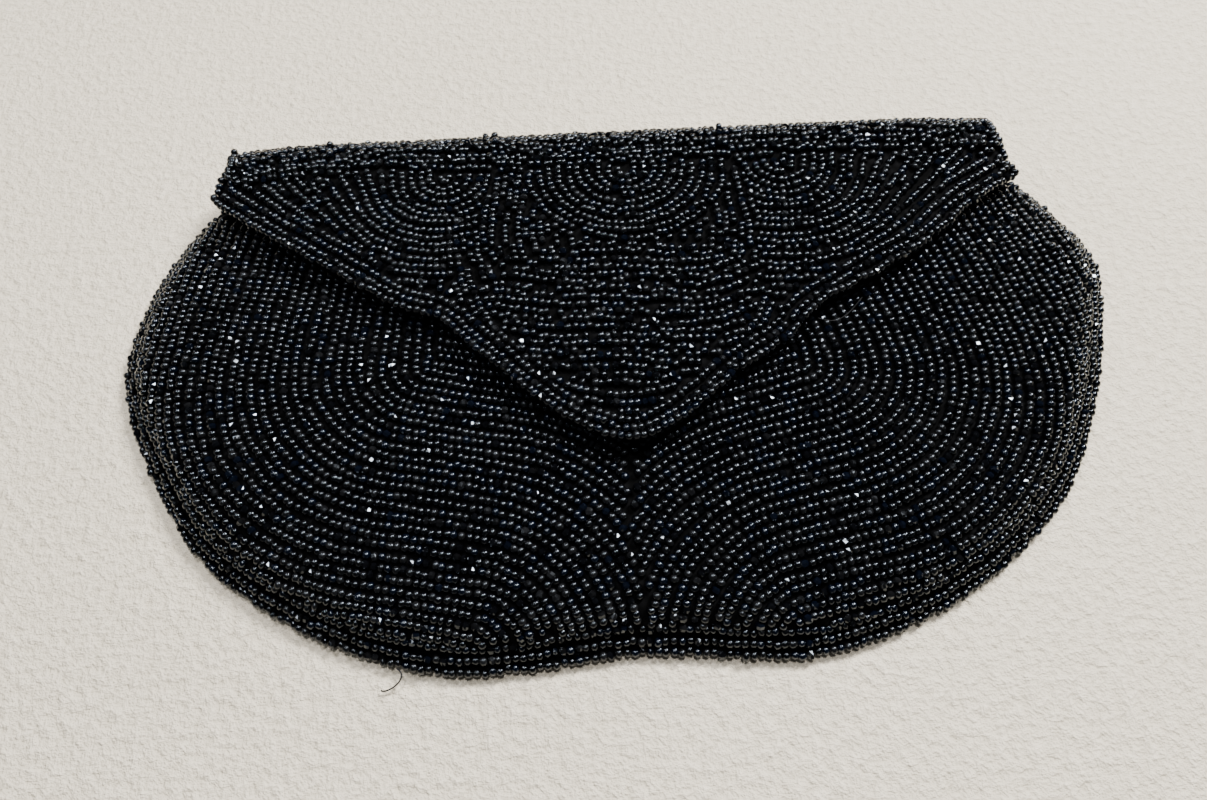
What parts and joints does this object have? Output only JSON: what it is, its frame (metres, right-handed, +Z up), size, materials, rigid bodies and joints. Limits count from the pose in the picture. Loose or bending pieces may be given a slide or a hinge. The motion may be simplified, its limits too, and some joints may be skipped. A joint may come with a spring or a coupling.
{
  "type": "beaded evening clutch",
  "caption": "Flat envelope evening clutch covered in rows of black glass seed beads, with a scalloped fold-over flap that opens on the fold and a satin-lined compartment.",
  "frame": {"origin": "middle of the bag's footprint, on the surface it lies on", "axes": "+X across the bag to the right, +Y from the hem to the fold, +Z up out of the front, so the flap's outside faces +Z"},
  "size_m": [0.1988, 0.1112, 0.0169],
  "materials": {
    "jet_beads": "glossy black cut glass seed beads sewn in rows on black net",
    "buckram": "stiff sized cotton board",
    "cotton_flannel": "soft brushed cotton interlining",
    "satin": "black rayon satin lining, soft sheen",
    "snap_metal": "black japanned brass"
  },
  "bodies": {
    "back": {"back_beaded_panel": "jet_beads", "back_board": "buckram", "back_lining": "satin", "inner_pocket_panel": "satin", "front_beaded_panel": "jet_beads", "front_interlining": "cotton_flannel", "front_lining": "satin", "body_edging": "jet_beads", "mouth_edging": "jet_beads", "snap_socket": "snap_metal"},
    "spine": {"spine_beaded_strip": "jet_beads", "spine_interlining": "cotton_flannel", "spine_lining": "satin", "spine_edging_left": "jet_beads", "spine_edging_right": "jet_beads"},
    "flap": {"flap_beaded_panel": "jet_beads", "flap_board": "buckram", "flap_lining": "satin", "flap_edging": "jet_beads", "snap_ball": "snap_metal"}
  },
  "joints": [
    {"name": "lower_fold", "type": "hinge", "parent": "back", "child": "spine", "pos_m": [0, 0.05435, 0.00129], "axis": [-1, 0, 0], "range_deg": [0, 90]},
    {"name": "upper_fold", "type": "hinge", "parent": "spine", "child": "flap", "pos_m": [0, 0.05435, 0.01561], "axis": [-1, 0, 0], "range_deg": [0, 90]}
  ],
  "couplings": [
    {"joint": "upper_fold", "follows": "lower_fold", "ratio": 1}
  ]
}
